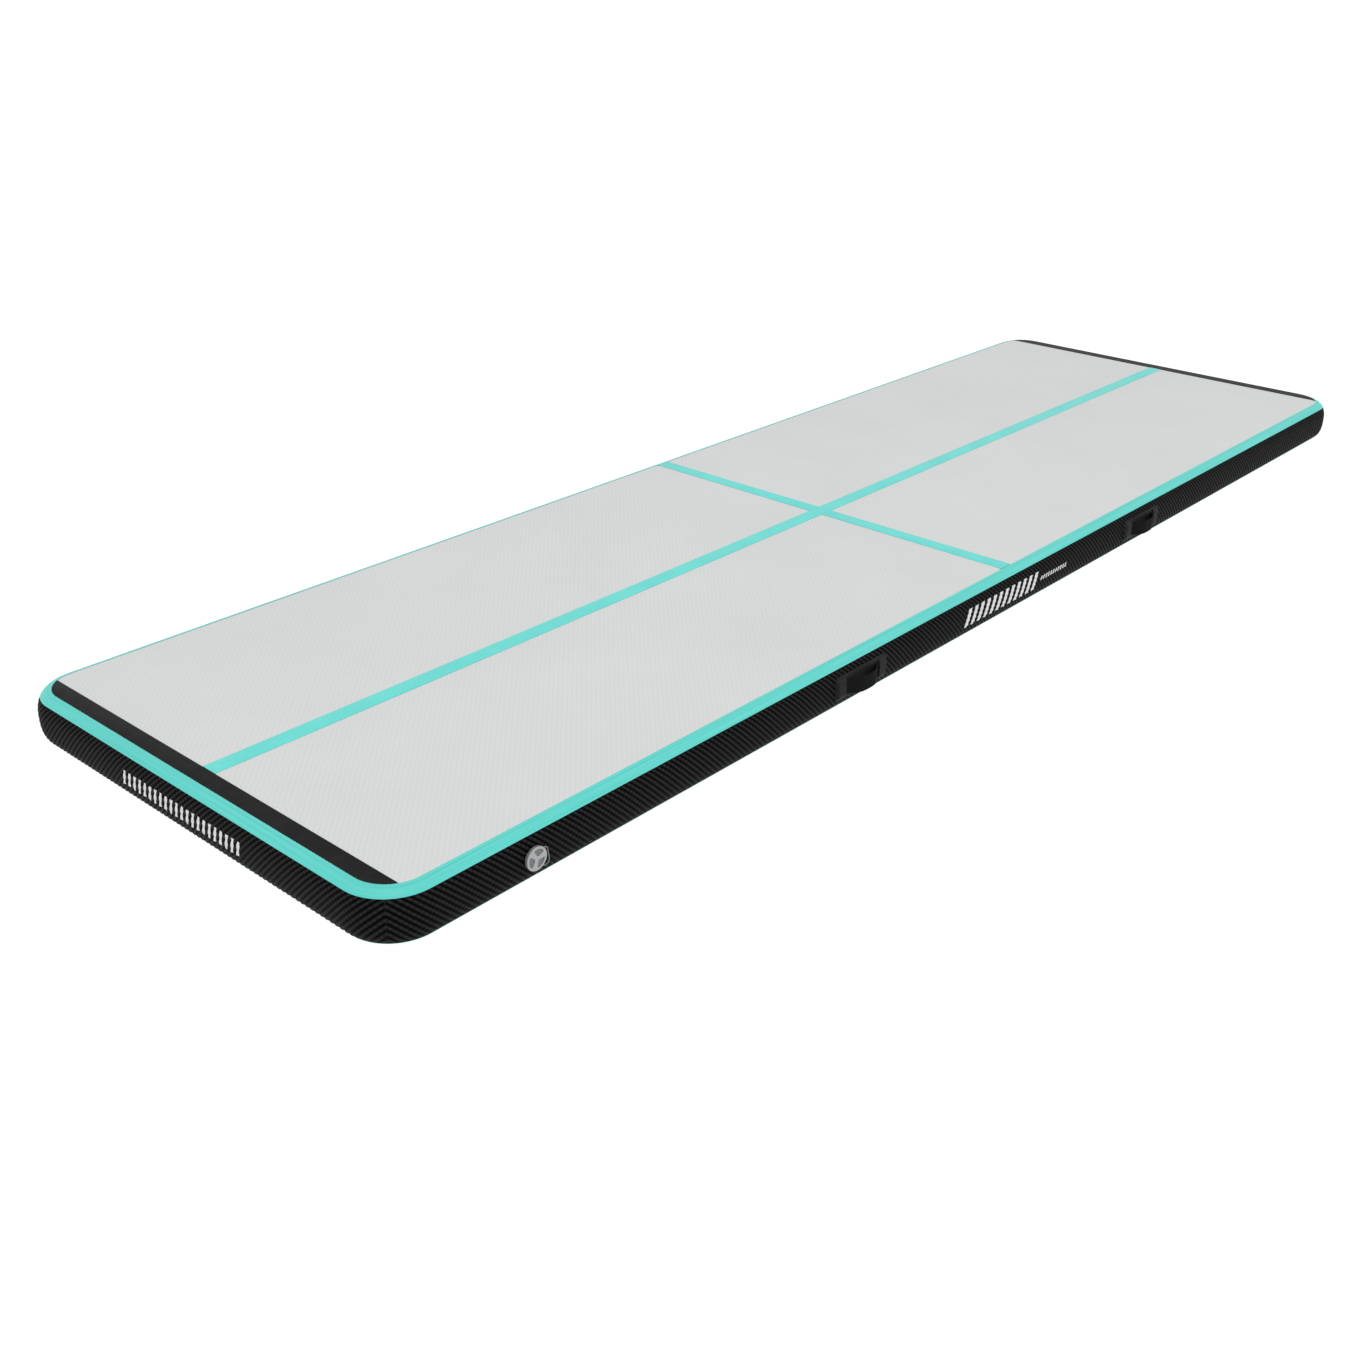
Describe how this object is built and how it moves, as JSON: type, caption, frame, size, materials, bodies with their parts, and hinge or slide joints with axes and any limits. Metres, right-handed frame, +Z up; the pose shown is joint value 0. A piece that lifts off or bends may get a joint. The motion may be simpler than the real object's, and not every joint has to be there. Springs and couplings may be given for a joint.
{
  "type": "air track mat",
  "caption": "Long inflatable drop-stitch tumbling mat with a grey deck, teal rails and lines, ribbed black sides, webbing carry handles and a capped push valve.",
  "frame": {"origin": "on the floor under the middle of the inflated mat", "axes": "+X along the mat to its far end, +Y across it away from the side with the valve, +Z up through the deck"},
  "size_m": [3.2244, 1.04, 0.0964],
  "materials": {
    "deck": "matte",
    "ribbed_wall": "satin",
    "smooth_black": "satin",
    "teal_tape": "satin",
    "webbing": "matte",
    "liner": "satin",
    "yarn": "matte",
    "valve_plastic": "satin",
    "seal_rubber": "matte",
    "spring_steel": "satin"
  },
  "bodies": {
    "root": {"top_skin": "deck", "bottom_skin": "deck", "drop_stitch_core": "yarn", "inner_sidewall": "liner", "back_sidewall": "ribbed_wall", "near_end_sidewall": "ribbed_wall", "front_sidewall": "ribbed_wall", "far_end_sidewall": "ribbed_wall", "top_rail_tape": "teal_tape", "bottom_rail_tape": "teal_tape", "centre_line": "teal_tape", "cross_line_front": "teal_tape", "cross_line_back": "teal_tape", "near_end_stripe": "smooth_black", "far_end_stripe": "smooth_black", "front_near_handle_patch": "smooth_black", "front_near_handle_left_cover": "smooth_black", "front_near_handle_right_cover": "smooth_black", "front_near_handle_left_end": "webbing", "front_near_handle_right_end": "webbing", "front_far_handle_patch": "smooth_black", "front_far_handle_left_cover": "smooth_black", "front_far_handle_right_cover": "smooth_black", "front_far_handle_left_end": "webbing", "front_far_handle_right_end": "webbing", "back_near_handle_patch": "smooth_black", "back_near_handle_left_cover": "smooth_black", "back_near_handle_right_cover": "smooth_black", "back_near_handle_left_end": "webbing", "back_near_handle_right_end": "webbing", "back_far_handle_patch": "smooth_black", "back_far_handle_left_cover": "smooth_black", "back_far_handle_right_cover": "smooth_black", "back_far_handle_left_end": "webbing", "back_far_handle_right_end": "webbing", "valve_body": "valve_plastic", "backnut": "valve_plastic", "tether_base_ring": "valve_plastic", "tether_strap": "valve_plastic", "outer_gasket": "seal_rubber", "inner_gasket": "seal_rubber", "valve_spring": "spring_steel"},
    "front_near_handle_strap": {"front_near_handle_loop": "webbing"},
    "front_far_handle_strap": {"front_far_handle_loop": "webbing"},
    "back_near_handle_strap": {"back_near_handle_loop": "webbing"},
    "back_far_handle_strap": {"back_far_handle_loop": "webbing"},
    "poppet": {"seal_disc": "seal_rubber"},
    "stem": {"valve_stem": "valve_plastic"},
    "cap_carrier": {"tether_cap_ring": "valve_plastic"},
    "cap": {"valve_cap": "valve_plastic", "cap_seal": "seal_rubber"}
  },
  "joints": [
    {"name": "front_near_handle_swing", "type": "hinge", "parent": "root", "child": "front_near_handle_strap", "pos_m": [-0.525, -0.5015, 0.0478], "axis": [1, 0, 0], "range_deg": [-30, 30]},
    {"name": "front_far_handle_swing", "type": "hinge", "parent": "root", "child": "front_far_handle_strap", "pos_m": [0.525, -0.5015, 0.0478], "axis": [1, 0, 0], "range_deg": [-30, 30]},
    {"name": "back_near_handle_swing", "type": "hinge", "parent": "root", "child": "back_near_handle_strap", "pos_m": [-0.525, 0.5015, 0.0478], "axis": [1, 0, 0], "range_deg": [-30, 30]},
    {"name": "back_far_handle_swing", "type": "hinge", "parent": "root", "child": "back_far_handle_strap", "pos_m": [0.525, 0.5015, 0.0478], "axis": [1, 0, 0], "range_deg": [-30, 30]},
    {"name": "poppet_press", "type": "slide", "parent": "root", "child": "poppet", "axis": [0, 1, 0], "range_m": [0, 0.006], "stiffness_N_per_m": 900, "springref_m": -0.004, "deforming": ["valve_spring"]},
    {"name": "stem_turn", "type": "hinge", "parent": "poppet", "child": "stem", "pos_m": [-1.332, -0.5, 0.0488], "axis": [0, -1, 0], "range_deg": [0, 90]},
    {"name": "cap_lift", "type": "slide", "parent": "root", "child": "cap_carrier", "axis": [0, -1, 0], "range_m": [0, 0.005], "deforming": ["tether_strap"]},
    {"name": "cap_turn", "type": "hinge", "parent": "cap_carrier", "child": "cap", "pos_m": [-1.332, -0.5, 0.0488], "axis": [0, -1, 0], "range_deg": [0, 450]}
  ],
  "couplings": [
    {"joint": "cap_lift", "follows": "cap_turn", "m_per_rad": 0.00063662}
  ]
}
